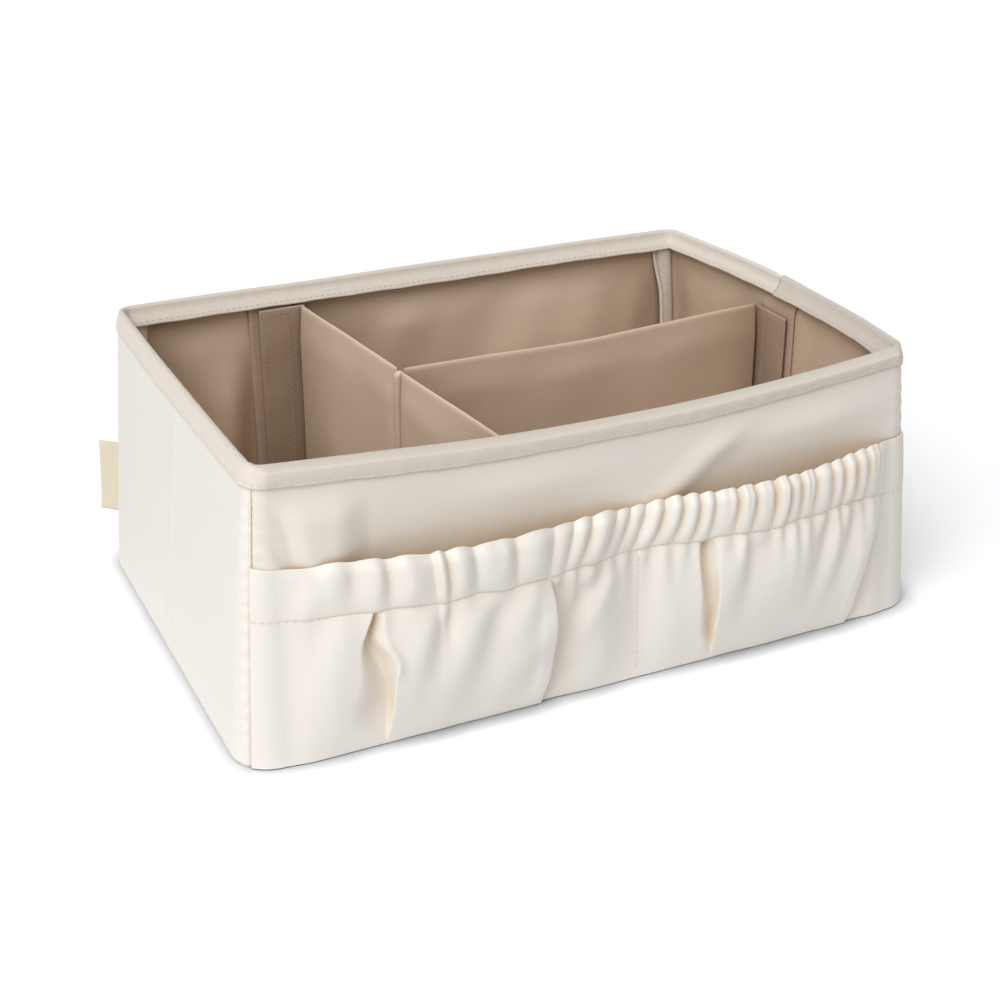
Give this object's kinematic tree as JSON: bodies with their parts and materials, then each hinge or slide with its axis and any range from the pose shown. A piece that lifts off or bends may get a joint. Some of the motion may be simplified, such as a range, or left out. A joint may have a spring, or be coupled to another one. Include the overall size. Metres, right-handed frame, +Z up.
{
  "type": "fabric nursery caddy",
  "caption": "Open rectangular fabric caddy with stiffened walls, a gathered elastic front pocket and a lift-out padded T divider held by hook-and-loop tabs.",
  "frame": {"origin": "centre of the flat underside of the base", "axes": "+X along the length to the right, -Y towards the pocket at the front, +Z up out of the open top"},
  "size_m": [0.3788, 0.2653, 0.1479],
  "materials": {
    "cream_satin": "smooth satin-weave polyester, soft sheen",
    "stiffener_board": "plain matte sheet",
    "foam_board": "closed-cell foam sheet",
    "taupe_lining": "plain-weave polyester, low sheen",
    "grosgrain_binding": "ribbed grosgrain tape",
    "elastic": "woven elastic",
    "hook_loop_tape": "hook-and-loop tape, matte pile",
    "label_cotton": "woven cotton tape"
  },
  "bodies": {
    "box": {"outer_front": "cream_satin", "outer_rear": "cream_satin", "outer_left": "cream_satin", "outer_right": "cream_satin", "outer_base": "cream_satin", "board_front": "stiffener_board", "board_rear": "stiffener_board", "board_left_front": "stiffener_board", "board_left_rear": "stiffener_board", "board_right_front": "stiffener_board", "board_right_rear": "stiffener_board", "board_base": "stiffener_board", "lining_front": "taupe_lining", "lining_rear": "taupe_lining", "lining_left": "taupe_lining", "lining_right": "taupe_lining", "lining_base": "taupe_lining", "rim_binding": "grosgrain_binding", "corner_binding_front_left": "grosgrain_binding", "corner_binding_front_right": "grosgrain_binding", "corner_binding_rear_left": "grosgrain_binding", "corner_binding_rear_right": "grosgrain_binding", "loop_strip_rear": "hook_loop_tape", "loop_strip_front": "hook_loop_tape", "loop_strip_right": "hook_loop_tape"},
    "pocket_left": {"pocket_left": "cream_satin", "elastic_left": "elastic"},
    "pocket_right": {"pocket_right": "cream_satin", "elastic_right": "elastic"},
    "divider_seam": {"divider_seam": "taupe_lining"},
    "rear_leaf": {"rear_leaf_cover": "taupe_lining", "rear_leaf_board": "foam_board"},
    "front_leaf": {"front_leaf_cover": "taupe_lining", "front_leaf_board": "foam_board"},
    "long_leaf": {"long_leaf_cover": "taupe_lining", "long_leaf_board": "foam_board"},
    "rear_tab": {"tab_rear": "taupe_lining", "hook_tape_rear": "hook_loop_tape"},
    "front_tab": {"tab_front": "taupe_lining", "hook_tape_front": "hook_loop_tape"},
    "right_tab": {"tab_right": "taupe_lining", "hook_tape_right": "hook_loop_tape"},
    "label": {"side_label": "label_cotton"}
  },
  "joints": [
    {"name": "divider_lift", "type": "slide", "parent": "box", "child": "divider_seam", "axis": [0, 0, 1], "range_m": [0, 0.16]},
    {"name": "rear_leaf_swing", "type": "hinge", "parent": "divider_seam", "child": "rear_leaf", "pos_m": [-0.0594, -0.004, 0.069], "axis": [0, 0, 1], "range_deg": [0, 40]},
    {"name": "front_leaf_swing", "type": "hinge", "parent": "divider_seam", "child": "front_leaf", "pos_m": [-0.0594, -0.004, 0.069], "axis": [0, 0, 1], "range_deg": [-40, 0]},
    {"name": "long_leaf_swing", "type": "hinge", "parent": "divider_seam", "child": "long_leaf", "pos_m": [-0.0594, -0.004, 0.069], "axis": [0, 0, 1], "range_deg": [-18, 0]},
    {"name": "rear_tab_peel", "type": "hinge", "parent": "rear_leaf", "child": "rear_tab", "pos_m": [-0.07479, 0.11415, 0.0666], "axis": [0, 0, 1], "range_deg": [0, 80]},
    {"name": "front_tab_peel", "type": "hinge", "parent": "front_leaf", "child": "front_tab", "pos_m": [-0.05379, -0.10802, 0.0666], "axis": [0, 0, 1], "range_deg": [-80, 0]},
    {"name": "right_tab_peel", "type": "hinge", "parent": "long_leaf", "child": "right_tab", "pos_m": [0.17429, 0.01634, 0.0666], "axis": [0, 0, 1], "range_deg": [-80, 0]},
    {"name": "left_pocket_pull", "type": "hinge", "parent": "box", "child": "pocket_left", "pos_m": [-0.0848, -0.1242, 0.0015], "axis": [1, 0, 0], "range_deg": [0, 12], "stiffness_Nm_per_rad": 0.6},
    {"name": "right_pocket_pull", "type": "hinge", "parent": "box", "child": "pocket_right", "pos_m": [0.0988, -0.1242, 0.0015], "axis": [1, 0, 0], "range_deg": [0, 12], "stiffness_Nm_per_rad": 0.6},
    {"name": "label_flip", "type": "hinge", "parent": "box", "child": "label", "pos_m": [-0.17928, 0.11723, 0.0495], "axis": [0.0783, -0.0088, 0.9969], "range_deg": [-45, 45], "stiffness_Nm_per_rad": 0.0002}
  ]
}
